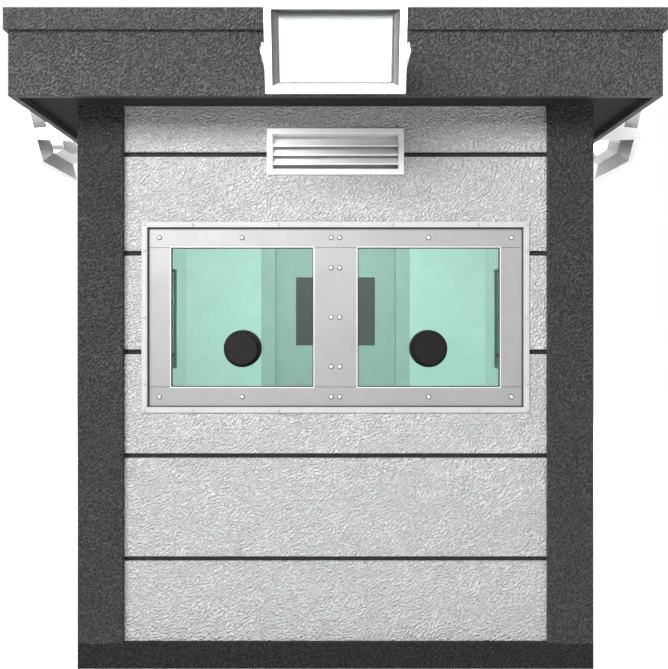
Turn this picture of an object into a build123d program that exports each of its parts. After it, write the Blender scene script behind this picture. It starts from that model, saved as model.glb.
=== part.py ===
"""A bullet-resistant security guard booth, in millimetres.

The booth stands on Z = 0 with its centre over the origin. Its long window faces -Y, and its
door is in the +Y wall. Dark rendered corner posts, base curb and roof edge frame light
cladding courses. Each window is thick glass clamped between steel plates, with round gun
ports. A floodlight on a long yoke hangs from the middle of each roof edge, and tilts.
"""

from math import cos, radians, sin
import os

from build123d import *

os.makedirs("parts", exist_ok=True)

# Body
body_width = 2438
body_depth = 2134
base_height = 120
post_face = 213
soffit_height = 2668

# Layers of a wall, from the face of the posts inwards
panel_recess = 28
cladding_thickness = 14
core_thickness = 46
lining_thickness = 12

# Cladding courses
joint_width = 23
joint_shares = (0.1535, 0.3462, 0.5404, 0.7249, 0.9097)
panel_edge = 2

# Roof
overhang = 227
fascia_thickness = 30
fascia_drop = 30
fascia_height = 288
coping_height = 97
coping_stand = 16
coping_width = 110
soffit_thickness = 12

# Windows
window_below_soffit = 1006
glass_opening_height = 667
front_trim_gap = 84
side_trim_gap = 21
mullion_width = 210
stile_width = 109
rail_width = 94
trim_width = 27
trim_stand = 10
trim_sleeve = 6
plate_recess = 12
plate_thickness = 8
plate_seam = 2
glass_thickness = 32
pane_gap = 10
lining_clearance = 14

# Gun ports
port_drop = 150
port_flange_radius = 89
port_flange_thickness = 10
port_body_radius = 77
port_stand = 50
port_bevel = 4
port_tube_radius = 70
port_fit = 0.6
port_collar_radius = 89
port_collar_thickness = 24
front_port_latch_drop = 66
side_port_latch_drop = 94
port_latch_radius = 13
port_latch_length = 58

# Vent
vent_below_soffit = 217.5
vent_opening_width = 598
vent_opening_height = 166
vent_flange = 27
vent_stand = 10
vent_sleeve = 3
blade_pitch = 43
blade_count = 3
first_blade_foot = 22
blade_lip = 8
blade_run = 34
blade_thickness = 2.5
blade_recess = 4
vent_screen_gap = 6
vent_screen_thickness = 2

# Door
leaf_width = 914
leaf_height = 2134
leaf_thickness = 45
door_gap = 6
threshold_height = 20
door_frame_face = 90
door_frame_stand = 12
door_frame_inside = 8
door_stop_gap = 5
door_stop_width = 13
door_window_width = 594
door_window_height = 513
door_window_above_leaf_foot = 1574
door_glass_thickness = 20
door_bead_width = 30
door_bead_thickness = 6

# Hinges
hinge_height = 110
hinge_plate_width = 45
hinge_plate_thickness = 3
knuckle_radius = 8
knuckle_gap = 1
hinge_pin_radius = 4
hinge_pin_fit = 0.1
hinge_axis_stand = 10
hinge_places = (300, 1067, 1834)

# Door handles
handle_height = 914
handle_setback = 70
handle_plate_width = 50
handle_plate_height = 160
handle_plate_thickness = 8
handle_neck_radius = 11
handle_neck_length = 46
lever_length = 125
lever_thickness = 14
lever_height = 24
lock_radius = 14
lock_drop = 52
lock_stand = 6

# Floodlights
lamp_width = 568
lamp_height = 347
lamp_reach = 316
lamp_tilt = 14.75
lamp_above_fascia_foot = 93
rim_width = 28
rim_thickness = 24
bezel_depth = 30
bezel_inset_across = 22
bezel_inset_up = 12
cover_thickness = 4
cover_ledge = 6
shoulder_width = 316
shoulder_height = 208
shoulder_depth = 60
back_width = 294
back_height = 193
back_depth = 123.5
shell_thickness = 4
lamp_edge = 4
reflector_thickness = 2
reflector_gap = 1
reflector_floor_gap = 4

# Floodlight yokes
pivot_depth = 12
pivot_below_middle = 8
pivot_pin_radius = 6
pivot_pin_length = 12
pivot_fit = 0.1
yoke_gap = 5
yoke_thickness = 6
yoke_tip_height = 62
yoke_root_height = 106
yoke_root_rise = 8
pivot_head_radius = 13
pivot_head_height = 6
yoke_bolt_radius = 9
yoke_bolt_height = 6
yoke_bolt_spacing = 400

# Sizes that follow
half_width = body_width / 2
half_depth = body_depth / 2
cladding_depth = panel_recess
core_depth = cladding_depth + cladding_thickness
lining_depth = core_depth + core_thickness
inside_depth = lining_depth + lining_thickness
window_height = soffit_height - window_below_soffit
vent_height = soffit_height - vent_below_soffit
wall_height = soffit_height - base_height
joint_heights = [base_height + share * wall_height for share in joint_shares]
window_surround = stile_width + trim_width
front_opening_width = body_width - 2 * (post_face + front_trim_gap + window_surround)
side_opening_width = body_depth - 2 * (post_face + side_trim_gap + window_surround)
fascia_foot = soffit_height - fascia_drop
fascia_top = fascia_foot + fascia_height
trim_front_depth = cladding_depth - trim_stand
plate_depth = cladding_depth + plate_recess
glass_depth = plate_depth + plate_thickness
inner_frame_depth = glass_depth + glass_thickness

# The four faces of the body: x runs to the right as seen from outside, y runs up
front_face = Plane(origin=(0, -half_depth, 0), x_dir=(1, 0, 0), z_dir=(0, -1, 0))
left_face = Plane(origin=(-half_width, 0, 0), x_dir=(0, -1, 0), z_dir=(-1, 0, 0))
right_face = Plane(origin=(half_width, 0, 0), x_dir=(0, 1, 0), z_dir=(1, 0, 0))
back_face = Plane(origin=(0, half_depth, 0), x_dir=(-1, 0, 0), z_dir=(0, 1, 0))
faces_by_name = {
    "front": front_face,
    "left": left_face,
    "right": right_face,
    "back": back_face,
}
wall_half_widths = {
    "front": half_width - post_face,
    "left": half_depth - post_face,
    "right": half_depth - post_face,
    "back": half_width - post_face,
}
opening_widths = {
    "front": front_opening_width,
    "left": side_opening_width,
    "right": side_opening_width,
}


def write(part, label):
    """Labels a finished piece and writes it to its own file."""
    part.label = label
    export_step(part, f"parts/{label}.step")


def outward(face):
    """The axis that points straight out of a face."""
    return Axis(face.origin, face.z_dir)


def frame_size(name):
    """Width and height of the hole inside a window's trim."""
    width = opening_widths[name] + 2 * stile_width
    height = glass_opening_height + 2 * rail_width
    return width, height


def rough_size(name):
    """Width and height of the hole cut through cladding and core for a window."""
    width, height = frame_size(name)
    return width + 2 * trim_sleeve, height + 2 * trim_sleeve


def pane_centre(name):
    """Distance from a window's middle to the middle of one pane's opening."""
    return (opening_widths[name] / 2 + mullion_width / 2) / 2


# Base and floor


def make_base_curb():
    with BuildPart() as curb:
        with BuildSketch():
            Rectangle(body_width, body_depth)
            Rectangle(
                body_width - 2 * lining_depth,
                body_depth - 2 * lining_depth,
                mode=Mode.SUBTRACT,
            )
        extrude(amount=base_height)
    return curb.part


def make_floor_slab():
    with BuildPart() as slab:
        with BuildSketch():
            Rectangle(body_width - 2 * lining_depth, body_depth - 2 * lining_depth)
        extrude(amount=base_height)
    return slab.part


def make_corner_post(side, end):
    """An angle-shaped post that wraps one corner, side and end being -1 or 1."""
    leg_inset = post_face / 2
    with BuildPart() as post:
        with BuildSketch(Plane.XY.offset(base_height)):
            with Locations((side * (half_width - leg_inset), end * (half_depth - leg_inset))):
                Rectangle(post_face, post_face)
            inner = post_face - lining_depth
            inner_x = half_width - lining_depth - inner / 2
            inner_y = half_depth - lining_depth - inner / 2
            with Locations((side * inner_x, end * inner_y)):
                Rectangle(inner, inner, mode=Mode.SUBTRACT)
        extrude(amount=soffit_height - base_height)
    return post.part


# Walls


def cut_wall_openings(name, plus=0):
    """Cuts the window, vent or door hole that a wall's sketch needs."""
    if name in opening_widths:
        width, height = rough_size(name)
        with Locations((0, window_height)):
            Rectangle(width, height, mode=Mode.SUBTRACT)
    if name == "front":
        with Locations((0, vent_height)):
            Rectangle(
                vent_opening_width + 2 * vent_sleeve,
                vent_opening_height + 2 * vent_sleeve,
                mode=Mode.SUBTRACT,
            )
    if name == "back":
        with Locations((0, (base_height + door_frame_top()) / 2)):
            Rectangle(
                2 * door_frame_half_width() + plus,
                door_frame_top() - base_height,
                mode=Mode.SUBTRACT,
            )


def make_wall_core(name):
    """The dark structural wall, which shows in the joints between the courses."""
    face = faces_by_name[name]
    wall_width = 2 * wall_half_widths[name]
    with BuildPart() as core:
        with BuildSketch(face.offset(-core_depth)):
            with Locations((0, (base_height + soffit_height) / 2)):
                Rectangle(wall_width, soffit_height - base_height)
            cut_wall_openings(name)
        extrude(amount=-core_thickness)
    return core.part


def make_back_wall(low_x, high_x, low_z):
    """A piece of the back wall, between two distances from its middle."""
    with BuildPart() as core:
        with BuildSketch(back_face.offset(-core_depth)):
            with Locations(((low_x + high_x) / 2, (low_z + soffit_height) / 2)):
                Rectangle(high_x - low_x, soffit_height - low_z)
        extrude(amount=-core_thickness)
    return core.part


def make_cladding(name):
    """Light courses with open joints between them, cut round the wall's openings."""
    face = faces_by_name[name]
    wall_width = 2 * wall_half_widths[name]
    feet = [base_height] + [z + joint_width / 2 for z in joint_heights]
    heads = [z - joint_width / 2 for z in joint_heights] + [soffit_height]
    with BuildPart() as cladding:
        with BuildSketch(face.offset(-cladding_depth)):
            for foot, head in zip(feet, heads):
                with Locations((0, (foot + head) / 2)):
                    Rectangle(wall_width, head - foot)
            cut_wall_openings(name)
        extrude(amount=-cladding_thickness)
        chamfer(cladding.faces().group_by(outward(face))[-1].edges(), length=panel_edge)
    return cladding.part


def make_lining():
    """Light sheet that lines all four walls inside, open at windows, vent and door."""
    height = soffit_height - base_height
    with BuildPart() as lining:
        with BuildSketch(Plane.XY.offset(base_height)):
            Rectangle(body_width - 2 * lining_depth, body_depth - 2 * lining_depth)
            Rectangle(
                body_width - 2 * inside_depth,
                body_depth - 2 * inside_depth,
                mode=Mode.SUBTRACT,
            )
        extrude(amount=height)
        for name, opening in opening_widths.items():
            with BuildSketch(faces_by_name[name].offset(-lining_depth)):
                with Locations((0, window_height)):
                    Rectangle(
                        opening + 2 * lining_clearance,
                        glass_opening_height + 2 * lining_clearance,
                    )
            extrude(amount=-lining_thickness, mode=Mode.SUBTRACT)
        with BuildSketch(front_face.offset(-lining_depth)):
            with Locations((0, vent_height)):
                Rectangle(
                    vent_opening_width + 2 * vent_sleeve,
                    vent_opening_height + 2 * vent_sleeve,
                )
        extrude(amount=-lining_thickness, mode=Mode.SUBTRACT)
        with BuildSketch(back_face.offset(-lining_depth)):
            with Locations((0, (base_height + door_frame_top()) / 2)):
                Rectangle(2 * door_frame_half_width(), door_frame_top() - base_height)
        extrude(amount=-lining_thickness, mode=Mode.SUBTRACT)
    return lining.part


# Roof


def make_soffit():
    """Board that closes the overhang, resting on the heads of walls and posts."""
    with BuildPart() as soffit:
        with BuildSketch(Plane.XY.offset(soffit_height)):
            reach = overhang - fascia_thickness
            Rectangle(body_width + 2 * reach, body_depth + 2 * reach)
            Rectangle(
                body_width - 2 * inside_depth,
                body_depth - 2 * inside_depth,
                mode=Mode.SUBTRACT,
            )
        extrude(amount=soffit_thickness)
    return soffit.part


def make_ceiling_panel():
    with BuildPart() as ceiling:
        with BuildSketch(Plane.XY.offset(soffit_height)):
            Rectangle(body_width - 2 * inside_depth, body_depth - 2 * inside_depth)
        extrude(amount=soffit_thickness)
    return ceiling.part


def make_roof_deck():
    deck_foot = soffit_height + soffit_thickness
    reach = overhang - fascia_thickness
    with BuildPart() as deck:
        with BuildSketch(Plane.XY.offset(deck_foot)):
            Rectangle(body_width + 2 * reach, body_depth + 2 * reach)
        extrude(amount=fascia_top - deck_foot)
    return deck.part


def make_roof_fascia():
    """Deep board round the roof, which hangs a little below the soffit."""
    inner = overhang - fascia_thickness
    with BuildPart() as fascia:
        with BuildSketch(Plane.XY.offset(fascia_foot)):
            Rectangle(body_width + 2 * overhang, body_depth + 2 * overhang)
            Rectangle(body_width + 2 * inner, body_depth + 2 * inner, mode=Mode.SUBTRACT)
        extrude(amount=fascia_height)
    return fascia.part


def make_roof_coping():
    """Capping that stands proud of the fascia and rises above the roof deck."""
    outer = overhang + coping_stand
    inner = outer - coping_width
    with BuildPart() as coping:
        with BuildSketch(Plane.XY.offset(fascia_top)):
            Rectangle(body_width + 2 * outer, body_depth + 2 * outer)
            Rectangle(body_width + 2 * inner, body_depth + 2 * inner, mode=Mode.SUBTRACT)
        extrude(amount=coping_height)
    return coping.part


# Windows


def make_window_trim(name):
    """Flange on the cladding with a sleeve that lines the hole through the wall."""
    face = faces_by_name[name]
    width, height = frame_size(name)
    with BuildPart() as trim:
        with BuildSketch(face.offset(-cladding_depth)):
            with Locations((0, window_height)):
                Rectangle(width + 2 * trim_width, height + 2 * trim_width)
                Rectangle(width, height, mode=Mode.SUBTRACT)
        extrude(amount=trim_stand)
        with BuildSketch(face.offset(-cladding_depth)):
            with Locations((0, window_height)):
                Rectangle(width + 2 * trim_sleeve, height + 2 * trim_sleeve)
                Rectangle(width, height, mode=Mode.SUBTRACT)
        extrude(amount=cladding_depth - lining_depth)
        chamfer(trim.faces().group_by(outward(face))[-1].edges(), length=panel_edge)
    return trim.part


def make_window_rails(name):
    """The two level clamp plates, over and under the glass."""
    width, _ = frame_size(name)
    rail_offset = (glass_opening_height + rail_width) / 2
    with BuildPart() as rails:
        with BuildSketch(faces_by_name[name].offset(-plate_depth)):
            with Locations(
                (0, window_height - rail_offset),
                (0, window_height + rail_offset),
            ):
                Rectangle(width, rail_width)
        extrude(amount=-plate_thickness)
    return rails.part


def make_window_stiles(name):
    """The two upright clamp plates and the wide mullion, a seam short of the rails."""
    stile_offset = (opening_widths[name] + stile_width) / 2
    stile_height = glass_opening_height - 2 * plate_seam
    with BuildPart() as stiles:
        with BuildSketch(faces_by_name[name].offset(-plate_depth)):
            with Locations((-stile_offset, window_height), (stile_offset, window_height)):
                Rectangle(stile_width, stile_height)
            with Locations((0, window_height)):
                Rectangle(mullion_width, stile_height)
        extrude(amount=-plate_thickness)
    return stiles.part


def sketch_window_plate(name):
    """Profile of a whole clamp plate: its outline less the two pane openings."""
    width, height = frame_size(name)
    pane_width = (opening_widths[name] - mullion_width) / 2
    with Locations((0, window_height)):
        Rectangle(width, height)
    with Locations((-pane_centre(name), window_height), (pane_centre(name), window_height)):
        Rectangle(pane_width, glass_opening_height, mode=Mode.SUBTRACT)


def make_window_plate(name, depth):
    """One welded clamp plate with two pane openings, at a depth in the wall."""
    with BuildPart() as plate:
        with BuildSketch(faces_by_name[name].offset(-depth)):
            sketch_window_plate(name)
        extrude(amount=-plate_thickness)
    return plate.part


def make_window_glass(name):
    """Two thick panes that meet behind the mullion, each bored for its gun port."""
    face = faces_by_name[name]
    width, height = frame_size(name)
    pane_width = (width - pane_gap) / 2
    pane_offset = (pane_width + pane_gap) / 2
    with BuildPart() as glass:
        with BuildSketch(face.offset(-glass_depth)):
            with Locations((-pane_offset, window_height), (pane_offset, window_height)):
                Rectangle(pane_width, height)
            with Locations(*port_places(name)):
                Circle(port_tube_radius + port_fit, mode=Mode.SUBTRACT)
        extrude(amount=-glass_thickness)
    return glass.part


# Gun ports


def port_places(name):
    """Centres of a window's two gun ports on its face."""
    drop = window_height - port_drop
    return (-pane_centre(name), drop), (pane_centre(name), drop)


def make_gun_ports():
    """Every port: outer puck, tube through the glass, inner collar and latch knob."""
    with BuildPart() as ports:
        for name, face in faces_by_name.items():
            if name not in opening_widths:
                continue
            places = port_places(name)
            drop = front_port_latch_drop if name == "front" else side_port_latch_drop
            latches = [(x, z - drop) for x, z in places]
            with BuildSketch(face.offset(-glass_depth)):
                with Locations(*places):
                    Circle(port_flange_radius)
            extrude(amount=port_flange_thickness)
            with BuildSketch(face.offset(-glass_depth)):
                with Locations(*places):
                    Circle(port_body_radius)
            extrude(amount=port_stand)
            chamfer(
                ports.faces().group_by(outward(face))[-1].edges(),
                length=port_bevel,
            )
            with BuildSketch(face.offset(-glass_depth)):
                with Locations(*places):
                    Circle(port_tube_radius)
            extrude(amount=-glass_thickness)
            with BuildSketch(face.offset(-inner_frame_depth)):
                with Locations(*places):
                    Circle(port_collar_radius)
                with Locations(*latches):
                    Circle(port_latch_radius)
            extrude(amount=-port_collar_thickness)
            with BuildSketch(face.offset(-inner_frame_depth)):
                with Locations(*latches):
                    Circle(port_latch_radius)
            extrude(amount=-port_latch_length)
    return ports.part


# Vent


def make_vent_frame():
    """Flange on the cladding and a sleeve right through the wall."""
    with BuildPart() as vent:
        with BuildSketch(front_face.offset(-cladding_depth)):
            with Locations((0, vent_height)):
                Rectangle(
                    vent_opening_width + 2 * vent_flange,
                    vent_opening_height + 2 * vent_flange,
                )
                Rectangle(vent_opening_width, vent_opening_height, mode=Mode.SUBTRACT)
        extrude(amount=vent_stand)
        with BuildSketch(front_face.offset(-cladding_depth)):
            with Locations((0, vent_height)):
                Rectangle(
                    vent_opening_width + 2 * vent_sleeve,
                    vent_opening_height + 2 * vent_sleeve,
                )
                Rectangle(vent_opening_width, vent_opening_height, mode=Mode.SUBTRACT)
        extrude(amount=cladding_depth - inside_depth)
        chamfer(vent.faces().group_by(outward(front_face))[-1].edges(), length=panel_edge)
    return vent.part


def blade_back():
    """How far the top blade, the longest, reaches back from the cladding's face."""
    top_lip = first_blade_foot + (blade_count - 1) * blade_pitch + blade_lip
    return blade_recess + vent_opening_height - top_lip


def make_vent_blades():
    """Blades with an upright lip and a slope at 45 degrees. The top one's slope runs on
    up to the frame."""
    section = Plane(
        origin=(-vent_opening_width / 2, -half_depth + cladding_depth, vent_height),
        x_dir=(0, 1, 0),
        z_dir=(1, 0, 0),
    )
    lowest = -vent_opening_height / 2
    with BuildPart() as blades:
        with BuildSketch(section):
            for index in range(blade_count):
                foot = lowest + first_blade_foot + index * blade_pitch
                lip = foot + blade_lip
                back = blade_recess + blade_run
                if index == blade_count - 1:
                    back = blade_back()
                rise = back - blade_recess
                with BuildLine():
                    Polyline(
                        (blade_recess, foot),
                        (blade_recess, lip),
                        (back, lip + rise),
                        (back, lip + rise - blade_thickness),
                        (blade_recess + blade_thickness, lip - blade_thickness),
                        (blade_recess + blade_thickness, foot),
                        close=True,
                    )
                make_face()
        extrude(amount=vent_opening_width)
    return blades.part


def make_vent_screen():
    """Dark insect screen that closes the duct behind the blades, as a plain thin sheet."""
    depth = cladding_depth + blade_back() + vent_screen_gap
    with BuildPart() as screen:
        with BuildSketch(front_face.offset(-depth)):
            with Locations((0, vent_height)):
                Rectangle(vent_opening_width, vent_opening_height)
        extrude(amount=-vent_screen_thickness)
    return screen.part


# Door


def leaf_foot():
    return base_height + threshold_height + door_gap


def door_frame_half_width():
    """Half the frame's overall width."""
    return leaf_width / 2 + door_gap + door_frame_face


def door_frame_top():
    """Height of the head of the frame."""
    return leaf_foot() + leaf_height + door_gap + door_frame_face


def door_face_depth():
    """Depth in the wall of the outer faces of frame and leaf."""
    return cladding_depth - door_frame_stand


def make_door_frame():
    """Frame with a threshold and a stop that the leaf closes against."""
    opening_width = leaf_width + 2 * door_gap
    opening_foot = base_height + threshold_height
    opening_head = leaf_foot() + leaf_height + door_gap
    frame_depth = inside_depth + door_frame_inside - door_face_depth()
    stop_depth = leaf_thickness + door_stop_gap
    with BuildPart() as frame:
        with BuildSketch(back_face.offset(-door_face_depth())):
            with Locations((0, (base_height + door_frame_top()) / 2)):
                Rectangle(2 * door_frame_half_width(), door_frame_top() - base_height)
        extrude(amount=-frame_depth)
        with BuildSketch(back_face.offset(-door_face_depth())):
            with Locations((0, (opening_foot + opening_head) / 2)):
                Rectangle(opening_width, opening_head - opening_foot)
        extrude(amount=-stop_depth, mode=Mode.SUBTRACT)
        with BuildSketch(back_face.offset(-door_face_depth())):
            with Locations((0, (opening_foot + opening_head) / 2)):
                Rectangle(
                    opening_width - 2 * door_stop_width,
                    opening_head - opening_foot - 2 * door_stop_width,
                )
        extrude(amount=-frame_depth, mode=Mode.SUBTRACT)
    return frame.part


def door_window_centre():
    return leaf_foot() + door_window_above_leaf_foot


def make_door_leaf():
    """Flush leaf with a hole for its window."""
    with BuildPart() as leaf:
        with BuildSketch(back_face.offset(-door_face_depth())):
            with Locations((0, leaf_foot() + leaf_height / 2)):
                Rectangle(leaf_width, leaf_height)
            with Locations((0, door_window_centre())):
                Rectangle(door_window_width, door_window_height, mode=Mode.SUBTRACT)
        extrude(amount=-leaf_thickness)
    return leaf.part


def make_door_glass():
    """Dark pane that fills the leaf's hole, in the middle of its thickness."""
    depth = door_face_depth() + (leaf_thickness - door_glass_thickness) / 2
    with BuildPart() as glass:
        with BuildSketch(back_face.offset(-depth)):
            with Locations((0, door_window_centre())):
                Rectangle(door_window_width, door_window_height)
        extrude(amount=-door_glass_thickness)
    return glass.part


def make_door_bead():
    """Clamp frame screwed round the window on the outside of the leaf."""
    with BuildPart() as bead:
        with BuildSketch(back_face.offset(-door_face_depth())):
            with Locations((0, door_window_centre())):
                Rectangle(
                    door_window_width + 2 * door_bead_width,
                    door_window_height + 2 * door_bead_width,
                )
                Rectangle(door_window_width, door_window_height, mode=Mode.SUBTRACT)
        extrude(amount=door_bead_thickness)
        chamfer(bead.faces().group_by(outward(back_face))[-1].edges(), length=panel_edge)
    return bead.part


# Hinges


def hinge_axis_x():
    """Distance of the hinge line from the door's middle, seen from outside."""
    return -(leaf_width / 2 + door_gap / 2)


def hinge_axis_depth():
    return door_face_depth() - hinge_axis_stand


def knuckle_places(part_of):
    """Foot and height of each knuckle, counted from the foot of a hinge."""
    height = (hinge_height - 2 * knuckle_gap) / 3
    if part_of == "frame":
        return ((0, height), (2 * (height + knuckle_gap), height))
    return ((height + knuckle_gap, height),)


def make_hinge_halves(part_of):
    """All hinge halves on the frame or on the leaf: plate and knuckles, plus the pin
    on the frame's half."""
    axis_x = hinge_axis_x()
    away = -1 if part_of == "frame" else 1
    plate_start = knuckle_radius + knuckle_gap
    plate_width = hinge_plate_width - plate_start
    with BuildPart() as halves:
        for place in hinge_places:
            foot = leaf_foot() + place - hinge_height / 2
            with BuildSketch(back_face.offset(-door_face_depth())):
                with Locations(
                    (axis_x + away * (plate_start + plate_width / 2), foot + hinge_height / 2)
                ):
                    Rectangle(plate_width, hinge_height)
                for start, height in knuckle_places(part_of):
                    with Locations((axis_x + away * plate_start / 2, foot + start + height / 2)):
                        Rectangle(plate_start, height)
            extrude(amount=hinge_plate_thickness)
            for start, height in knuckle_places(part_of):
                with BuildSketch(hinge_plane(foot + start)):
                    Circle(knuckle_radius)
                extrude(amount=height)
            if part_of == "frame":
                with BuildSketch(hinge_plane(foot)):
                    Circle(hinge_pin_radius)
                extrude(amount=hinge_height)
            else:
                with BuildSketch(hinge_plane(foot)):
                    Circle(hinge_pin_radius + hinge_pin_fit)
                extrude(amount=hinge_height, mode=Mode.SUBTRACT)
    return halves.part


def hinge_plane(height):
    """Level plane centred on the hinge line at a height."""
    return Plane(origin=(-hinge_axis_x(), half_depth - hinge_axis_depth(), height))


def make_door_handles():
    """Back plate, neck and lever on each side of the leaf, and a lock cylinder."""
    centre_x = leaf_width / 2 - handle_setback
    centre_z = base_height + handle_height + 20
    outer = back_face.offset(-door_face_depth())
    inner = back_face.offset(-door_face_depth() - leaf_thickness)
    with BuildPart() as handles:
        for plane, way in ((outer, 1), (inner, -1)):
            with BuildSketch(plane):
                with Locations((centre_x, centre_z - lock_drop / 2)):
                    RectangleRounded(handle_plate_width, handle_plate_height, 8)
            extrude(amount=way * handle_plate_thickness)
            with BuildSketch(plane):
                with Locations((centre_x, centre_z - lock_drop)):
                    Circle(lock_radius)
            extrude(amount=way * (handle_plate_thickness + lock_stand))
            with BuildSketch(plane):
                with Locations((centre_x, centre_z)):
                    Circle(handle_neck_radius)
            extrude(amount=way * handle_neck_length)
            lever_plane = plane.offset(way * (handle_neck_length - lever_thickness))
            lever_middle = centre_x - lever_length / 2 + lever_height / 2
            with BuildSketch(lever_plane):
                with Locations((lever_middle, centre_z)):
                    SlotOverall(lever_length, lever_height)
            extrude(amount=way * lever_thickness)
    return handles.part


# Floodlights


def roof_edge_face(name):
    """The outer face of the fascia on one side, with y running up."""
    return faces_by_name[name].offset(overhang)


def rim_plane(name):
    """Plane of a floodlight's front rim, facing out and tilted down."""
    edge = roof_edge_face(name)
    middle = edge.origin + edge.z_dir * lamp_reach
    middle = middle + Vector(0, 0, fascia_foot + lamp_above_fascia_foot)
    tilt = radians(lamp_tilt)
    normal = edge.z_dir * cos(tilt) - Vector(0, 0, 1) * sin(tilt)
    return Plane(origin=middle, x_dir=edge.x_dir, z_dir=normal)


def pivot_centre(name):
    """Middle of a floodlight's pivot line, just behind its rim."""
    rim = rim_plane(name)
    return rim.origin - rim.z_dir * pivot_depth - rim.y_dir * pivot_below_middle


def pivot_plane(name, side):
    """Plane on one flank of a housing's rim, centred on its pivot and facing outwards."""
    rim = rim_plane(name)
    middle = pivot_centre(name) + rim.x_dir * (side * lamp_width / 2)
    return Plane(origin=middle, x_dir=rim.z_dir, z_dir=rim.x_dir * side)


def bezel_size(depth):
    """Width and height of the bevelled recess at a depth behind the rim's face."""
    share = depth / bezel_depth
    width = lamp_width - 2 * rim_width - 2 * bezel_inset_across * share
    height = lamp_height - 2 * rim_width - 2 * bezel_inset_up * share
    return width, height


def drawn_in(size, inset):
    """A width and height less an inset on every side."""
    return size[0] - 2 * inset, size[1] - 2 * inset


def taper(near, near_size, far, far_size):
    """Flat-sided solid between a rectangle on one plane and a rectangle on another."""
    rings = []
    for plane, size in ((near, near_size), (far, far_size)):
        corners = ((-1, -1), (1, -1), (1, 1), (-1, 1))
        points = [Vector(x * size[0] / 2, y * size[1] / 2) for x, y in corners]
        rings.append([plane.from_local_coords(point) for point in points])
    sides = [Face(Wire.make_polygon(ring, close=True)) for ring in rings]
    for here, after in ((0, 1), (1, 2), (2, 3), (3, 0)):
        corners = [rings[0][here], rings[0][after], rings[1][after], rings[1][here]]
        sides.append(Face(Wire.make_polygon(corners, close=True)))
    return Solid(Shell(sides))


def make_lamp_housing(name):
    """Cast housing: broad bevelled rim, two tapering stages behind it, hollow inside."""
    rim = rim_plane(name)
    bezel_front = bezel_size(0)
    bezel_back = bezel_size(bezel_depth)
    shoulder = (shoulder_width, shoulder_height)
    back = (back_width, back_height)
    ledge = rim.offset(-bezel_depth)
    waist = rim.offset(-shoulder_depth)
    floor = rim.offset(-back_depth)
    inner_floor = rim.offset(shell_thickness - back_depth)
    rim_foot = rim.offset(-rim_thickness)
    rim_size = drawn_in((lamp_width, lamp_height), lamp_edge)
    mouth = drawn_in(bezel_back, cover_ledge)
    inner_shoulder = drawn_in(shoulder, shell_thickness)
    inner_back = drawn_in(back, shell_thickness)
    with BuildPart() as housing:
        with BuildSketch(rim):
            RectangleRounded(lamp_width, lamp_height, lamp_edge)
        extrude(amount=-rim_thickness)
        add(taper(rim_foot, rim_size, waist, shoulder))
        add(taper(waist, shoulder, floor, back))
        add(taper(rim, bezel_front, ledge, bezel_back), mode=Mode.SUBTRACT)
        add(taper(ledge, mouth, waist, inner_shoulder), mode=Mode.SUBTRACT)
        add(taper(waist, inner_shoulder, inner_floor, inner_back), mode=Mode.SUBTRACT)
        for side in (-1, 1):
            with BuildSketch(pivot_plane(name, side)):
                Circle(pivot_pin_radius + pivot_fit)
            extrude(amount=-(pivot_pin_length + pivot_fit), mode=Mode.SUBTRACT)
    return housing.part


def make_lamp_cover(name):
    """Glass that closes the housing, seated on the ledge behind the bevel."""
    with BuildPart() as cover:
        with BuildSketch(rim_plane(name).offset(-bezel_depth)):
            Rectangle(*bezel_size(bezel_depth))
        extrude(amount=cover_thickness)
    return cover.part


def make_lamp_reflector(name):
    """Shallow folded tray behind the glass, its foot resting on the back of the glass."""
    rim = rim_plane(name)
    mouth = bezel_size(bezel_depth)
    mouth_inset = cover_ledge + reflector_gap
    floor_inset = shell_thickness + reflector_floor_gap
    floor_size = drawn_in((shoulder_width, shoulder_height), floor_inset)
    mouth_size = drawn_in(mouth, mouth_inset)
    inner_mouth = drawn_in(mouth_size, reflector_thickness)
    inner_floor = drawn_in(floor_size, reflector_thickness)
    opening = rim.offset(-bezel_depth)
    floor = rim.offset(-shoulder_depth)
    raised_floor = rim.offset(reflector_thickness - shoulder_depth)
    with BuildPart() as reflector:
        add(taper(opening, mouth_size, floor, floor_size))
        add(taper(opening, inner_mouth, raised_floor, inner_floor), mode=Mode.SUBTRACT)
    return reflector.part


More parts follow.
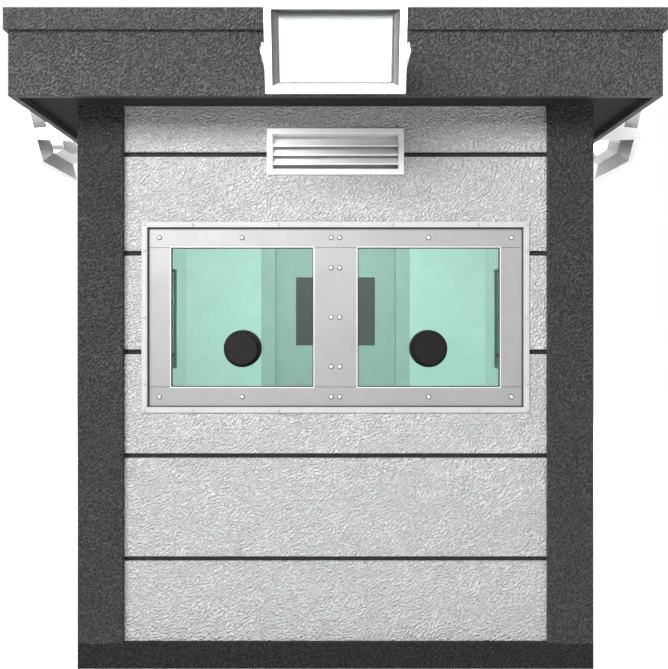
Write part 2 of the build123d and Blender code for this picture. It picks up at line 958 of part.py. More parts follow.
def make_lamp_brackets():
    """The four yokes: bar bolted to the fascia, two tapering arms with round ends, and the
    pivot bolts that enter the housings."""
    bar_width = lamp_width + 2 * (yoke_gap + yoke_thickness)
    flank = lamp_width / 2 + yoke_gap
    half_root = yoke_root_height / 2
    half_tip = yoke_tip_height / 2
    with BuildPart() as brackets:
        for name in faces_by_name:
            edge = roof_edge_face(name)
            pivot = pivot_centre(name)
            reach = (pivot - edge.origin).dot(edge.z_dir)
            root_height = pivot.Z + yoke_root_rise
            with BuildSketch(edge):
                with Locations((0, root_height)):
                    Rectangle(bar_width, yoke_root_height)
            extrude(amount=yoke_thickness)
            with BuildSketch(edge.offset(yoke_thickness)):
                with Locations(
                    (-yoke_bolt_spacing / 2, root_height),
                    (yoke_bolt_spacing / 2, root_height),
                ):
                    RegularPolygon(yoke_bolt_radius, 6)
            extrude(amount=yoke_bolt_height)
            for side in (-1, 1):
                arm = Plane(
                    origin=edge.origin + edge.x_dir * (side * flank) + Vector(0, 0, pivot.Z),
                    x_dir=Vector(0, 0, 1),
                    z_dir=edge.x_dir * side,
                )
                forward = reach * arm.y_dir.dot(edge.z_dir)
                with BuildSketch(arm):
                    with BuildLine():
                        Polyline(
                            (yoke_root_rise - half_root, 0),
                            (yoke_root_rise + half_root, 0),
                            (half_tip, forward),
                            (-half_tip, forward),
                            close=True,
                        )
                    make_face()
                    with Locations((0, forward)):
                        Circle(half_tip)
                extrude(amount=yoke_thickness)
                with BuildSketch(arm):
                    with Locations((0, forward)):
                        Circle(pivot_pin_radius)
                extrude(amount=-(yoke_gap + pivot_pin_length))
                with BuildSketch(arm.offset(yoke_thickness)):
                    with Locations((0, forward)):
                        RegularPolygon(pivot_head_radius, 6)
                extrude(amount=pivot_head_height)
    return brackets.part


# Every piece, written to its own file

write(make_base_curb(), "base_curb")
write(make_floor_slab(), "floor_slab")
for side_name, side in (("left", -1), ("right", 1)):
    for end_name, end in (("front", -1), ("back", 1)):
        write(make_corner_post(side, end), f"corner_post_{end_name}_{side_name}")

for wall in ("front", "left", "right"):
    write(make_wall_core(wall), f"{wall}_wall")
door_side = door_frame_half_width()
wall_side = wall_half_widths["back"]
write(make_back_wall(-wall_side, -door_side, base_height), "back_wall_hinge_side")
write(make_back_wall(door_side, wall_side, base_height), "back_wall_lock_side")
write(make_back_wall(-door_side, door_side, door_frame_top()), "back_wall_over_door")
for wall in faces_by_name:
    write(make_cladding(wall), f"{wall}_cladding")
write(make_lining(), "interior_lining")

write(make_ceiling_panel(), "ceiling_panel")
write(make_soffit(), "soffit")
write(make_roof_deck(), "roof_deck")
write(make_roof_fascia(), "roof_fascia")
write(make_roof_coping(), "roof_coping")

write(make_window_rails("front"), "front_window_rails")
write(make_window_stiles("front"), "front_window_stiles")
for wall in ("left", "right"):
    write(make_window_plate(wall, plate_depth), f"{wall}_window_plate")
for wall in opening_widths:
    write(make_window_trim(wall), f"{wall}_window_trim")
    write(make_window_glass(wall), f"{wall}_window_glass")
    write(make_window_plate(wall, inner_frame_depth), f"{wall}_inner_plate")
write(make_gun_ports(), "gun_ports")

write(make_vent_frame(), "vent_frame")
write(make_vent_blades(), "vent_blades")
write(make_vent_screen(), "vent_screen")

write(make_door_frame(), "door_frame")
write(make_door_leaf(), "door_leaf")
write(make_door_glass(), "door_glass")
write(make_door_bead(), "door_window_bead")
write(make_hinge_halves("frame"), "hinge_frame_halves")
write(make_hinge_halves("leaf"), "hinge_leaf_halves")
write(make_door_handles(), "door_handles")

write(make_lamp_brackets(), "lamp_brackets")
for side_name in faces_by_name:
    write(make_lamp_housing(side_name), f"{side_name}_lamp_housing")
    write(make_lamp_cover(side_name), f"{side_name}_lamp_cover")
    write(make_lamp_reflector(side_name), f"{side_name}_lamp_reflector")
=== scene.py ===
"""The booth's looks: paint, metal, glass, bolts, rivets, dark washers and strips of
painted shade, bright pane edges with a painted highlight, light and camera.
"""

import math

import bmesh
import bpy
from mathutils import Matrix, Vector


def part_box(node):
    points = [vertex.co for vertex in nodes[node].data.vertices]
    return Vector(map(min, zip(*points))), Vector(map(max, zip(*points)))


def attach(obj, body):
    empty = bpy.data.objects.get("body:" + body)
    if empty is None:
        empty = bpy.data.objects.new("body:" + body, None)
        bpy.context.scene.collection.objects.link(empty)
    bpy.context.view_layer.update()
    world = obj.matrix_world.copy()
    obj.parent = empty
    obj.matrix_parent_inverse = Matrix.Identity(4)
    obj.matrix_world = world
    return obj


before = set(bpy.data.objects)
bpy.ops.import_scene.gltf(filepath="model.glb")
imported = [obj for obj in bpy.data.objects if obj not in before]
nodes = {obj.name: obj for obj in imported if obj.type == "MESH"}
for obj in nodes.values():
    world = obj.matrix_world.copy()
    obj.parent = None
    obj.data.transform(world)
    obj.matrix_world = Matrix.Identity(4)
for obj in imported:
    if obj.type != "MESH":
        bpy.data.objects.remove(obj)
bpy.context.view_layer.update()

# For each side of the booth: the way across it, seen from outside, and the way out of it
FACES = {
    "front": (Vector((1, 0, 0)), Vector((0, -1, 0))),
    "left": (Vector((0, -1, 0)), Vector((-1, 0, 0))),
    "right": (Vector((0, 1, 0)), Vector((1, 0, 0))),
    "back": (Vector((-1, 0, 0)), Vector((0, 1, 0))),
}
UP = Vector((0, 0, 1))
BOTH_WAYS = (-1, 1)
WHITE = (1.0, 1.0, 1.0)

# The middle band of a noise, which carries most of its values
NOISE_BAND = (0.3, 0.7)

# Trowelled coat: the lean of its ridges, and their count per metre along and over them
RIDGE_LEAN = math.radians(36)
RIDGE_BEND = 0.06
RIDGES_ALONG = 68.0
RIDGES_OVER = 146.0
RIDGES_THROUGH = 56.0
GRAIN_SHARE = 0.1
STAIN_SHARE = 0.08

# Lamps, in metres: a pair is where a zone starts and where it is full
LAMP_TILT = math.radians(14.75)
COVER_TO_RIM = 0.028
RIM_BACK = (0.0235, 0.0245)
MOUTH_ACROSS = (0.2565, 0.2555)
MOUTH_UP = (0.146, 0.145)
RECESS_FRONT = (0.0005, 0.001)
RECESS_BACK = (0.0305, 0.030)
# Depths over which the painted shade of the recess lining grows lighter
LINING_DEPTH = (0.004, 0.029)
# Where the tray's painted shade starts and is full: up its upper fold and out to its ends
TRAY_TOP = (0.094, 0.126)
TRAY_ENDS = (0.214, 0.226)
# The rim's painted glow, though it is no lamp; the tray's glow as the lamp, which the
# recess's foot also gets as painted light
RIM_PAINTED_GLOW = 0.22
TRAY_AND_PAINTED_FOOT_GLOW = 0.9

# Windows, in metres, as the solids have them
WINDOW_Z = 1.662
GLASS_HALF_HEIGHT = 0.3335
RAIL_WIDTH = 0.094
STILE_WIDTH = 0.109
MULLION_HALF = 0.105
GLASS_SETBACK = 0.008

# Heads as (radius, height), and where they stand from the window's middle or an end
BOLT = (0.0098, 0.0085)
# Dark washers under the bolts: painted shade at their feet
SHADE_WASHER = (0.0124, 0.0014)
RIVET = (0.0068, 0.0055)
RAIL_ROWS = (-0.3805, 0.3805)
MULLION_ROWS = (-0.236, 0.0, 0.236)
BOLT_FROM_MIDDLE = 0.0203
BOLT_FROM_END = 0.054
TRIM_ROWS = (-0.441, 0.441)
SIDE_ROWS = (-0.3175, 0.0, 0.3175)
RIVET_FROM_MIDDLE = 0.27
RIVET_FROM_END = 0.0135
RIVET_STEP = 0.229

# Domed heads: the skirt's share of the height, and how finely they are cut
SKIRT = 0.3
DOME_STEPS = 5
DOME_SIDES = 18

# Strip profiles: points as (in from the rectangle's edge, out from the face)
# A dark strip of painted shade round the plate's edge, against the trim
PLATE_SHADE_STRIP = ((0.0, 0.0002), (0.0, 0.007), (0.005, 0.006), (0.0055, 0.0002))
# A bright steel bead round each pane: a real edge, made bright as a painted highlight
PANE_HIGHLIGHT_EDGE = ((0.0, 0.0002), (0.0, 0.0012), (-0.0028, 0.0014), (-0.0042, 0.0002))
# A dark strip of painted shade round each pane, on the glass
PANE_SHADE_STRIP = ((0.0002, 0.0004), (0.0002, 0.004), (0.0045, 0.003), (0.005, 0.0004))

# Stage and camera
FLOOR_HALF = 60.0
FLOOR_GLOW = 0.82
WORLD_LIGHT = 0.24
PHOTO_HEIGHT = 669
FOCAL_PIXELS = 736.8
SENSOR = 36


# Node helpers


class Maker:
    """A new material with its Principled shader and short calls for the usual nodes."""

    def __init__(self, name):
        self.material = bpy.data.materials.new(name)
        self.material.use_nodes = True
        self.tree = self.material.node_tree
        self.shader = self.tree.nodes["Principled BSDF"]
        places = self.node("ShaderNodeTexCoord").outputs
        self.coordinates = places["Object"]
        self.facing = places["Normal"]

    def node(self, kind, **settings):
        made = self.tree.nodes.new(kind)
        for key, value in settings.items():
            setattr(made, key, value)
        return made

    def link(self, source, target):
        self.tree.links.new(source, target)

    def feed(self, source, target):
        """Links a socket, or writes a number or vector."""
        if isinstance(source, bpy.types.NodeSocket):
            self.link(source, target)
        else:
            target.default_value = source

    def maths(self, operation, first, second=0.0, clamp=False):
        made = self.node("ShaderNodeMath", operation=operation, use_clamp=clamp)
        self.feed(first, made.inputs[0])
        self.feed(second, made.inputs[1])
        return made.outputs[0]

    def times(self, first, second):
        return self.maths("MULTIPLY", first, second)

    def rest(self, share):
        """What a share leaves of the whole."""
        return self.maths("SUBTRACT", 1.0, share)

    def split(self, vector):
        made = self.node("ShaderNodeSeparateXYZ")
        self.link(vector, made.inputs[0])
        return made.outputs

    def join(self, x, y, z):
        made = self.node("ShaderNodeCombineXYZ")
        self.feed(x, made.inputs[0])
        self.feed(y, made.inputs[1])
        self.feed(z, made.inputs[2])
        return made.outputs[0]

    def place_from(self, point):
        """The place on the piece, measured from a point."""
        made = self.node("ShaderNodeVectorMath", operation="SUBTRACT")
        self.link(self.coordinates, made.inputs[0])
        made.inputs[1].default_value = tuple(point)
        return made.outputs[0]

    def dot(self, vector, direction):
        made = self.node("ShaderNodeVectorMath", operation="DOT_PRODUCT")
        self.link(vector, made.inputs[0])
        made.inputs[1].default_value = tuple(direction)
        return made.outputs["Value"]

    def noise(self, scale, detail=4.0, roughness=0.55, distortion=0.0, vector=None):
        made = self.node("ShaderNodeTexNoise")
        self.link(vector or self.coordinates, made.inputs["Vector"])
        made.inputs["Scale"].default_value = scale
        made.inputs["Detail"].default_value = detail
        made.inputs["Roughness"].default_value = roughness
        made.inputs["Distortion"].default_value = distortion
        return made.outputs[0]

    def ramp(self, value, low, high, out_low=0.0, out_high=1.0):
        made = self.node("ShaderNodeMapRange", clamp=True)
        self.link(value, made.inputs[0])
        made.inputs[1].default_value = low
        made.inputs[2].default_value = high
        made.inputs[3].default_value = out_low
        made.inputs[4].default_value = out_high
        return made.outputs[0]

    def mix(self, share, first, second):
        """A colour between two, each a socket or (r, g, b)."""
        made = self.node("ShaderNodeMix", data_type="RGBA")
        self.feed(share, made.inputs[0])
        for colour, target in ((first, made.inputs[6]), (second, made.inputs[7])):
            if isinstance(colour, bpy.types.NodeSocket):
                self.link(colour, target)
            else:
                target.default_value = (*colour, 1.0)
        return made.outputs[2]

    def drift(self, cloud, first, second):
        """A colour that drifts between two with a noise."""
        return self.mix(self.ramp(cloud, *NOISE_BAND), first, second)

    def bump(self, height, distance, strength=1.0):
        made = self.node("ShaderNodeBump")
        self.link(height, made.inputs["Height"])
        made.inputs["Distance"].default_value = distance
        made.inputs["Strength"].default_value = strength
        return made.outputs[0]

    def set(self, **values):
        """Feeds sockets of the shader by name, with underscores for spaces."""
        for key, value in values.items():
            if isinstance(value, tuple):
                value = (*value, 1.0)
            self.feed(value, self.shader.inputs[key.replace("_", " ")])


def grey(value):
    """A linear neutral colour from a 0 to 255 display value."""
    share = value / 255
    linear = share / 12.92 if share <= 0.04045 else ((share + 0.055) / 1.055) ** 2.4
    return (linear, linear, linear)


def tinted(red, green, blue):
    """A linear colour from display values."""
    return (grey(red)[0], grey(green)[0], grey(blue)[0])


# Materials


def render_coat(name, low, high, roughness, relief, sheen):
    """Trowelled render: short slanting ridges under one coat of paint, with painted shade
    in their hollows and painted light on their tops.
    """
    make = Maker(name)
    x, y, z = make.split(make.coordinates)
    across = make.maths("ADD", x, y)
    slow = make.noise(3.0, 2.0)
    bend = make.times(make.maths("SUBTRACT", slow, 0.5), RIDGE_BEND)
    cos_lean = math.cos(RIDGE_LEAN)
    sin_lean = math.sin(RIDGE_LEAN)
    along = make.maths("ADD", make.times(across, cos_lean), make.times(z, sin_lean))
    over = make.maths("SUBTRACT", make.times(z, cos_lean), make.times(across, sin_lean))
    vector = make.join(
        make.times(make.maths("ADD", along, bend), RIDGES_ALONG),
        make.times(make.maths("ADD", over, bend), RIDGES_OVER),
        make.times(make.maths("SUBTRACT", x, y), RIDGES_THROUGH),
    )
    ridges = make.noise(1.0, 1.0, 0.5, 0.25, vector)
    grain = make.noise(260.0, 2.0, 0.6)
    patches = make.noise(7.0, 3.0)
    height = make.maths("ADD", ridges, make.times(grain, GRAIN_SHARE))
    height = make.times(height, make.ramp(patches, 0.25, 0.75, 0.88, 1.1))
    stain = make.ramp(make.noise(1.6, 5.0, 0.6), *NOISE_BAND, 0.0, STAIN_SHARE)
    # Painted shade and light: the colour is darker in the ridges' hollows and lighter on
    # their tops, and the stains darken it further at random
    tone = make.maths("SUBTRACT", make.ramp(ridges, 0.4, 0.62), stain, clamp=True)
    make.set(
        Base_Color=make.mix(tone, low, high),
        Roughness=make.ramp(grain, *NOISE_BAND, roughness - 0.06, roughness + 0.08),
        Specular_IOR_Level=sheen,
        Normal=make.bump(height, relief),
    )
    return make.material


def sheet_paint(
    name, low, high, roughness, metallic=0.0, scale=14.0, painted_glow=0.0, sheen=0.5
):
    """Sprayed paint or bare sheet with a faint cloudiness, scuffs and orange peel, and an
    optional painted glow that brightens a part that is no lamp.
    """
    make = Maker(name)
    cloud = make.noise(scale, 5.0, 0.6)
    peel = make.noise(220.0, 2.0, 0.5)
    scuff = make.ramp(make.noise(36.0, 6.0, 0.7, 0.6), 0.62, 0.78, 0.0, 0.5)
    tone = make.maths("SUBTRACT", make.ramp(cloud, *NOISE_BAND), scuff, clamp=True)
    make.set(
        Base_Color=make.mix(tone, low, high),
        Metallic=metallic,
        Roughness=make.ramp(cloud, 0.25, 0.75, roughness + 0.07, roughness - 0.05),
        Specular_IOR_Level=sheen,
        Emission_Color=WHITE,
        Emission_Strength=painted_glow,
        Normal=make.bump(peel, 0.0006, 0.4),
    )
    return make.material


def brushed_metal(name, low, high, roughness):
    """Brushed steel: fine level lines over a soft cloud."""
    make = Maker(name)
    x, y, z = make.split(make.coordinates)
    vector = make.join(
        make.times(make.maths("ADD", x, y), 12.0),
        make.times(make.maths("SUBTRACT", x, y), 12.0),
        make.times(z, 900.0),
    )
    lines = make.noise(1.0, 2.0, 0.5, 0.0, vector)
    make.set(
        Base_Color=make.drift(make.noise(9.0, 4.0), low, high),
        Metallic=1.0,
        Roughness=make.ramp(lines, *NOISE_BAND, roughness - 0.06, roughness + 0.08),
        Normal=make.bump(lines, 0.0002, 0.3),
    )
    return make.material


def clear_glass(name, tint):
    """Thick glass with the faintest ripple."""
    make = Maker(name)
    ripple = make.noise(5.0, 1.0)
    make.set(
        Base_Color=make.drift(ripple, tint, tuple(value * 0.97 for value in tint)),
        Roughness=0.0,
        IOR=1.45,
        Transmission_Weight=1.0,
        Normal=make.bump(ripple, 0.0002, 0.05),
    )
    return make.material


def rubber_sheet(name, low, high, pimples):
    """Rubber, membrane or mesh with a fine pimpled face: pimples is their scale."""
    make = Maker(name)
    cells = make.node("ShaderNodeTexVoronoi", feature="F1")
    make.link(make.coordinates, cells.inputs["Vector"])
    cells.inputs["Scale"].default_value = pimples
    domes = make.ramp(cells.outputs["Distance"], 0.2, 0.6, 1.0, 0.0)
    cloud = make.noise(6.0, 5.0, 0.6)
    make.set(
        Base_Color=make.drift(cloud, low, high),
        Roughness=make.ramp(cloud, *NOISE_BAND, 0.8, 0.88),
        Specular_IOR_Level=0.25,
        Normal=make.bump(domes, 0.001, 0.5),
    )
    return make.material


def lamp_axes(side):
    """A lamp cover's middle, and the ways across it, out of its face and up it."""
    x_dir, out = FACES[side]
    low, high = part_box(f"{side}_lamp_cover")
    normal = out * math.cos(LAMP_TILT) - UP * math.sin(LAMP_TILT)
    return (low + high) / 2, x_dir, normal, normal.cross(x_dir)


def lamp_casting(name, side):
    """White enamel on the rim with a painted glow, grey in the recess with painted shade
    and white at its foot with painted light, and satin metal on the stages behind.
    """
    make = Maker(name)
    middle, x_dir, normal, up_dir = lamp_axes(side)
    place = make.place_from(middle + normal * COVER_TO_RIM)
    depth = make.times(make.dot(place, normal), -1.0)
    across = make.maths("ABSOLUTE", make.dot(place, x_dir))
    up = make.maths("ABSOLUTE", make.dot(place, up_dir))
    behind = make.ramp(depth, *RIM_BACK)
    mouth = make.times(make.ramp(across, *MOUTH_ACROSS), make.ramp(up, *MOUTH_UP))
    within = make.times(make.ramp(depth, *RECESS_FRONT), make.ramp(depth, *RECESS_BACK))
    recess = make.times(mouth, within)
    outside = make.times(behind, make.rest(recess))
    cloud = make.noise(12.0, 4.0)
    peel = make.noise(240.0, 2.0)
    enamel = make.drift(cloud, grey(250), grey(243))
    metal = make.drift(cloud, grey(205), grey(222))
    # Painted shade and light: the recess is darkest under its head and near its mouth,
    # lighter at its sides and deeper in, and white and glowing at its foot
    rise = make.dot(make.facing, up_dir)
    inward = make.ramp(depth, *LINING_DEPTH)
    side_painted_shade = make.mix(inward, grey(74), grey(122))
    head_painted_shade = make.mix(inward, grey(58), grey(84))
    lining = make.mix(make.ramp(rise, -0.7, -0.4), head_painted_shade, side_painted_shade)
    foot = make.ramp(rise, 0.4, 0.7)
    lining = make.mix(foot, lining, grey(244))
    dull = make.times(recess, make.rest(foot))
    rim_painted_glow = make.times(make.times(make.rest(behind), RIM_PAINTED_GLOW), make.rest(dull))
    foot_painted_glow = make.times(make.times(recess, foot), TRAY_AND_PAINTED_FOOT_GLOW)
    make.set(
        Base_Color=make.mix(recess, make.mix(behind, enamel, metal), lining),
        Metallic=make.times(outside, 0.85),
        Roughness=make.ramp(outside, 0.0, 1.0, 0.35, 0.3),
        Emission_Color=WHITE,
        Emission_Strength=make.maths("ADD", rim_painted_glow, foot_painted_glow),
        Normal=make.bump(peel, 0.0001, 0.1),
    )
    return make.material


def reflector_glow(name, side):
    """Bright folded tray: it glows as the lamp, with painted shade that darkens it and
    dims its glow towards its upper fold and its ends, and a little on its upward-facing
    foot.
    """
    make = Maker(name)
    middle, x_dir, _, up_dir = lamp_axes(side)
    place = make.place_from(middle)
    up = make.dot(place, up_dir)
    across = make.maths("ABSOLUTE", make.dot(place, x_dir))
    down = make.dot(make.facing, -up_dir)
    top = make.times(make.ramp(up, *TRAY_TOP), 0.97)
    ends = make.times(make.ramp(across, *TRAY_ENDS), 0.55)
    foot = make.times(make.ramp(down, -0.15, -0.5), 0.1)
    shade = make.maths("MAXIMUM", make.maths("MAXIMUM", top, ends), foot)
    cloud = make.noise(30.0, 3.0)
    make.set(
        Base_Color=make.mix(shade, make.drift(cloud, grey(236), grey(246)), grey(84)),
        Roughness=0.35,
        Emission_Color=WHITE,
        Emission_Strength=make.ramp(shade, 0.0, 1.0, TRAY_AND_PAINTED_FOOT_GLOW, 0.0),
        Normal=make.bump(cloud, 0.0004, 0.2),
    )
    return make.material


# Coats: low and high tone (in the ridges' hollows and on their tops, as painted shade and
# light), roughness, relief and sheen
dark_render = render_coat("dark_render", grey(50), grey(94), 0.38, 0.1, 0.35)
# A lighter copy of the dark render for the fascia and coping: painted light for the sheen
# they catch
roof_render_painted_light = render_coat("roof_render_painted_light", grey(68), grey(118), 0.38, 0.1, 0.4)
base_render = render_coat("base_render", grey(22), grey(60), 0.45, 0.09, 0.25)
light_render = render_coat("light_render", grey(204), grey(232), 0.62, 0.07, 0.3)
core_board = render_coat("core_board", grey(20), grey(40), 0.75, 0.008, 0.3)
soffit_paint = render_coat("soffit_paint", grey(32), grey(50), 0.7, 0.024, 0.3)

# Sheets and paints: low and high tone, roughness, and what differs from plain paint
lining_paint = sheet_paint("lining_paint", grey(226), grey(234), 0.55)
plate_steel = sheet_paint(
    "plate_steel", grey(131), grey(139), 0.44, metallic=0.3, scale=5.0
)
# The inner plates are dark green-grey: painted shade for the dark reveal seen through the
# glass
inner_steel_painted_shade = sheet_paint(
    "inner_steel_painted_shade", tinted(66, 84, 78), tinted(80, 100, 92), 0.5, metallic=0.1, scale=5.0
)
trim_paint = sheet_paint("trim_paint", grey(158), grey(165), 0.5, sheen=0.3)
vent_paint = sheet_paint("vent_paint", grey(212), grey(219), 0.55, sheen=0.25)
door_paint = sheet_paint("door_paint", grey(180), grey(189), 0.42)
frame_paint = sheet_paint("frame_paint", grey(184), grey(193), 0.42)
# The lamp brackets glow a little: painted light that keeps them white
yoke_paint = sheet_paint("yoke_paint", grey(240), grey(246), 0.35, painted_glow=0.2)
port_black = sheet_paint(
    "port_black", grey(10), grey(16), 0.5, scale=20.0, sheen=0.15
)
bolt_steel = sheet_paint(
    "bolt_steel", grey(206), grey(220), 0.24, metallic=0.6, scale=60.0
)
# Bright steel for the pane edges: painted highlight on the plates' edges
edge_steel_painted_highlight = sheet_paint(
    "edge_steel_painted_highlight", grey(212), grey(220), 0.3, metallic=0.4, scale=60.0
)
# Dark rubber for the washers and strips that carry painted shade
painted_shade_rubber = sheet_paint("painted_shade_rubber", grey(18), grey(26), 0.6, scale=30.0)
door_pane = sheet_paint(
    "door_pane", tinted(82, 66, 70), tinted(87, 71, 75), 0.3, scale=4.0, sheen=0.2
)

# Pimpled sheets, brushed steel and clear glass
roof_membrane = rubber_sheet("roof_membrane", grey(150), grey(176), 60.0)
floor_sheet = rubber_sheet("floor_sheet", grey(70), grey(86), 45.0)
screen_mesh = rubber_sheet("screen_mesh", grey(150), grey(164), 300.0)
hinge_steel = brushed_metal("hinge_steel", grey(170), grey(190), 0.32)
window_glass = clear_glass("window_glass", tinted(184, 231, 215))
lamp_glass = clear_glass("lamp_glass", tinted(250, 252, 252))

# The nodes in each look: a whole name, an ending (_x) or a beginning (x_)
LOOKS = (
    (dark_render, "corner_post_"),
    (roof_render_painted_light, "roof_fascia", "roof_coping"),
    (base_render, "base_curb"),
    (light_render, "_cladding"),
    (core_board, "_wall", "back_wall_"),
    (lining_paint, "interior_lining", "ceiling_panel"),
    (soffit_paint, "soffit"),
    (roof_membrane, "roof_deck"),
    (floor_sheet, "floor_slab"),
    (inner_steel_painted_shade, "_inner_plate"),
    (plate_steel, "_window_plate", "_window_rails", "_window_stiles"),
    (plate_steel, "door_window_bead"),
    (trim_paint, "_window_trim"),
    (window_glass, "_window_glass"),
    (port_black, "gun_ports"),
    (screen_mesh, "vent_screen"),
    (vent_paint, "vent_frame", "vent_blades"),
    (frame_paint, "door_frame"),
    (door_paint, "door_leaf"),
    (door_pane, "door_glass"),
    (hinge_steel, "hinge_", "door_handles"),
    (yoke_paint, "lamp_brackets"),
    (lamp_glass, "_lamp_cover"),
)


def fits(name, part):
    """Whether a node's name is the part, or ends or begins with it."""
    if part.startswith("_"):
        return name.endswith(part)
    if part.endswith("_"):
        return name.startswith(part)
    return name == part


def look_of(name):
    """The material of a node. Each lamp has its own, laid out from its own middle."""
    side = name.split("_")[0]
    if name.endswith("_lamp_housing"):
        return lamp_casting(name + "_look", side)
    if name.endswith("_lamp_reflector"):
        return reflector_glow(name + "_look", side)
    for material, *parts in LOOKS:
        if any(fits(name, part) for part in parts):
            return material
    raise KeyError(name)


for name in nodes:
    material = look_of(name)
    target = nodes[name]
    if not target.data.materials:
        target.data.materials.append(material)
    for slot in target.material_slots:
        slot.material = material


# Bolts, rivets, dark strips of painted shade and bright edges with a painted highlight


def place_mesh(name, mesh, material):
    """Puts a finished mesh into the scene as one object."""
    data = bpy.data.meshes.new(name)
    mesh.to_mesh(data)
    mesh.free()
    data.materials.append(material)
    made = bpy.data.objects.new(name, data)
    bpy.context.scene.collection.objects.link(made)
    return made


def bridge(mesh, lower, upper):
    """Joins two rings of as many points with quads."""
    for index in range(len(lower)):
        after = (index + 1) % len(lower)
        mesh.faces.new((lower[index], lower[after], upper[after], upper[index]))


def add_dome(mesh, centre, normal, radius, height):
    """A domed head on a surface, with a short upright skirt."""
    side = normal.orthogonal().normalized()
    turn = normal.cross(side)
    profile = [(radius, 0.0), (radius, height * SKIRT)]
    for step in range(1, DOME_STEPS):
        angle = step / DOME_STEPS * math.pi / 2
        rise = SKIRT + (1 - SKIRT) * math.sin(angle)
        profile.append((radius * math.cos(angle), height * rise))
    rings = []
    for reach, rise in profile:
        ring = []
        for index in range(DOME_SIDES):
            angle = 2 * math.pi * index / DOME_SIDES
            spot = side * math.cos(angle) + turn * math.sin(angle)
            ring.append(mesh.verts.new(centre + spot * reach + normal * rise))
        rings.append(ring)
    top = mesh.verts.new(centre + normal * height)
    for lower, upper in zip(rings, rings[1:]):
        bridge(mesh, lower, upper)
    for index in range(DOME_SIDES):
        mesh.faces.new((rings[-1][index], rings[-1][(index + 1) % DOME_SIDES], top))
    mesh.faces.new(list(reversed(rings[0])))


def on_face(side, across, up, stand):
    """A point on a side: across and up from its window's middle, out from the axis."""
    x_dir, out = FACES[side]
    return x_dir * across + out * stand + UP * (WINDOW_Z + up)


def face_stand(node, side):
    """How far a node's outer face is from the booth's axis, on one side."""
    low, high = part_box(node)
    out = FACES[side][1]
    return max(low.dot(out), high.dot(out))


def face_half(node, side):
    """Half a node's width across one side."""
    low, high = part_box(node)
    return (high - low).dot(Vector([abs(v) for v in FACES[side][0]])) / 2


def fasteners(name, side, spots, stand, size, material):
    """One object with a domed head at each (across, up) spot of a side."""
    mesh = bmesh.new()
    for across, up in spots:
        add_dome(mesh, on_face(side, across, up, stand), FACES[side][1], *size)
    for face in mesh.faces:
        face.smooth = True
    made = place_mesh(name, mesh, material)
    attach(made, "booth")


def strip(name, side, frames, profile, stand, material):
    """Mitred strips round rectangles, each (across, half its width, half its height)."""
    mesh = bmesh.new()
    for across, half_width, half_height in frames:
        rings = []
        for inward, rise in profile:
            ring = []
            for way, lift in ((-1, -1), (1, -1), (1, 1), (-1, 1)):
                spot = on_face(
                    side,
                    across + way * (half_width - inward),
                    lift * (half_height - inward),
                    stand + rise,
                )
                ring.append(mesh.verts.new(spot))
            rings.append(ring)
        for lower, upper in zip(rings, rings[1:] + rings[:1]):
            bridge(mesh, lower, upper)
    bmesh.ops.recalc_face_normals(mesh, faces=mesh.faces)
    made = place_mesh(name, mesh, material)
    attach(made, "booth")


def trim_window(side):
    """The bolts, dark washers and strips of painted shade, bright pane edges with a
    painted highlight, and rivets of one window.
    """
    plate = "front_window_rails" if side == "front" else f"{side}_window_plate"
    half = face_half(plate, side)
    stand = face_stand(plate, side)
    pane = (half - STILE_WIDTH + MULLION_HALF) / 2
    pane_half = (half - STILE_WIDTH - MULLION_HALF) / 2
    bolts = [
        (way * across, row)
        for row in RAIL_ROWS
        for across in (half - BOLT_FROM_END, pane, BOLT_FROM_MIDDLE)
        for way in BOTH_WAYS
    ]
    bolts += [(way * BOLT_FROM_MIDDLE, row) for row in MULLION_ROWS for way in BOTH_WAYS]
    plate_edge = [(0.0, half, GLASS_HALF_HEIGHT + RAIL_WIDTH)]
    panes = [(way * pane, pane_half, GLASS_HALF_HEIGHT) for way in BOTH_WAYS]
    glass = stand - GLASS_SETBACK
    for kind, spots, size, material, slot in (
        ("plate_bolts", bolts, BOLT, bolt_steel, "clamp_steel"),
        ("bolt_shade_washers", bolts, SHADE_WASHER, painted_shade_rubber, "port_black"),
    ):
        fasteners(f"{side}_{kind}", side, spots, stand, size, material)
    for kind, frames, profile, level, material, slot in (
        ("plate_shade_line", plate_edge, PLATE_SHADE_STRIP, stand, painted_shade_rubber, "port_black"),
        ("pane_highlight_edges", panes, PANE_HIGHLIGHT_EDGE, stand, edge_steel_painted_highlight, "clamp_steel"),
        ("pane_shade_lines", panes, PANE_SHADE_STRIP, glass, painted_shade_rubber, "port_black"),
    ):
        strip(f"{side}_{kind}", side, frames, profile, level, material)

    trim = f"{side}_window_trim"
    half = face_half(trim, side) - RIVET_FROM_END
    rivets = [
        (way * across, row)
        for across in (half, half - RIVET_STEP, RIVET_FROM_MIDDLE)
        for way in BOTH_WAYS
        for row in TRIM_ROWS
    ]
    rivets += [(way * half, row) for row in SIDE_ROWS for way in BOTH_WAYS]
    stand = face_stand(trim, side)
    name = f"{side}_trim_rivets"
    fasteners(name, side, rivets, stand, RIVET, trim_paint)


for window_side in ("front", "left", "right"):
    trim_window(window_side)


# Stage, light and camera


def any_ray(tree, *kinds):
    """1 for a ray of any of the kinds, 0 for the rest."""
    path = tree.nodes.new("ShaderNodeLightPath")
    found = path.outputs[kinds[0]]
    for kind in kinds[1:]:
        either = tree.nodes.new("ShaderNodeMath")
        either.operation = "MAXIMUM"
        tree.links.new(found, either.inputs[0])
        tree.links.new(path.outputs[kind], either.inputs[1])
        found = either.outputs[0]
    return found


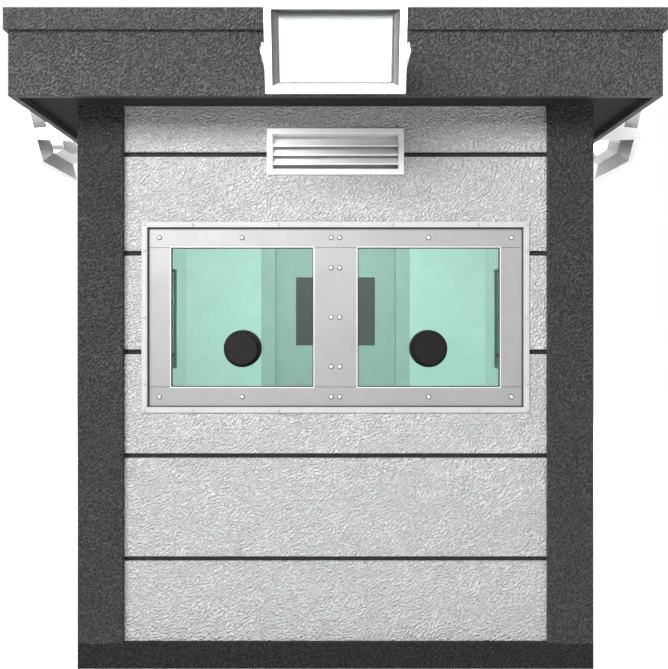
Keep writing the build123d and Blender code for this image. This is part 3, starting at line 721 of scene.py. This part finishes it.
def stage_material():
    """Pale floor, white in mirrors and glass, that still takes the booth's shadow."""
    make = Maker("pale_floor")
    make.set(
        Base_Color=grey(188),
        Roughness=0.9,
        Emission_Color=WHITE,
        Emission_Strength=make.times(any_ray(make.tree, "Is Camera Ray"), FLOOR_GLOW),
    )
    white = make.node("ShaderNodeEmission")
    white.inputs["Color"].default_value = (*WHITE, 1.0)
    both = make.node("ShaderNodeMixShader")
    mirrored = any_ray(make.tree, "Is Glossy Ray", "Is Transmission Ray")
    make.link(mirrored, both.inputs[0])
    make.link(make.shader.outputs[0], both.inputs[1])
    make.link(white.outputs[0], both.inputs[2])
    make.link(both.outputs[0], make.tree.nodes["Material Output"].inputs["Surface"])
    return make.material


floor_mesh = bmesh.new()
bmesh.ops.create_grid(floor_mesh, x_segments=1, y_segments=1, size=FLOOR_HALF)
floor = place_mesh("floor", floor_mesh, stage_material())

# The background is white where it is seen, and lights the booth at a lower level
world = bpy.data.worlds.new("studio")
bpy.context.scene.world = world
world.use_nodes = True
tree = world.node_tree
background = tree.nodes["Background"]
background.inputs["Color"].default_value = (*WHITE, 1.0)
level = tree.nodes.new("ShaderNodeMapRange")
seen = any_ray(tree, "Is Camera Ray", "Is Glossy Ray", "Is Transmission Ray")
tree.links.new(seen, level.inputs[0])
level.inputs[3].default_value = WORLD_LIGHT
level.inputs[4].default_value = 1.0
tree.links.new(level.outputs[0], background.inputs["Strength"])


def area_light(name, place, aim, width, height, power):
    """A lamp with a rectangular face that the camera doesn't see."""
    light = bpy.data.lights.new(name, "AREA")
    light.shape = "RECTANGLE"
    light.size = width
    light.size_y = height
    light.energy = power
    made = bpy.data.objects.new(name, light)
    made.location = place
    turn = (Vector(aim) - Vector(place)).to_track_quat("-Z", "Y")
    made.rotation_euler = turn.to_euler()
    made.visible_camera = False
    bpy.context.scene.collection.objects.link(made)
    return made


# Lights: place, aim, width, height and power
area_light("key", (-2.7, -7.3, 5.1), (0, -1.0, 1.7), 5.6, 3.0, 1100)
fill = area_light("fill", (2.4, -7.5, 0.9), (0, -1.0, 1.6), 5.0, 1.4, 130)
fill.visible_glossy = False
fill.visible_transmission = False
area_light("rear_light", (2.6, 8.0, 4.6), (0, 1.0, 1.5), 4.4, 3.0, 700)
for way in BOTH_WAYS:
    area_light("side_light", (way * 8.0, 1.6, 4.6), (way, 0.4, 1.5), 4.4, 3.0, 560)
area_light("cabin_light", (0, -0.6, 2.36), (0, 0.9, 0.3), 1.9, 0.5, 34)

# Camera, as fitted to the photograph's edges
camera_data = bpy.data.cameras.new("camera")
camera_data.lens = FOCAL_PIXELS / PHOTO_HEIGHT * SENSOR
camera_data.sensor_width = SENSOR
camera_data.sensor_fit = "AUTO"
camera_data.shift_x = -1.5 / PHOTO_HEIGHT
camera_data.shift_y = -12.2 / PHOTO_HEIGHT
camera = bpy.data.objects.new("camera", camera_data)
camera.location = (0.0, -4.548, 1.638)
camera.rotation_euler = (math.radians(90), 0, 0)
bpy.context.scene.collection.objects.link(camera)
bpy.context.scene.camera = camera
bpy.context.scene.view_settings.view_transform = "Standard"

bpy.context.view_layer.update()
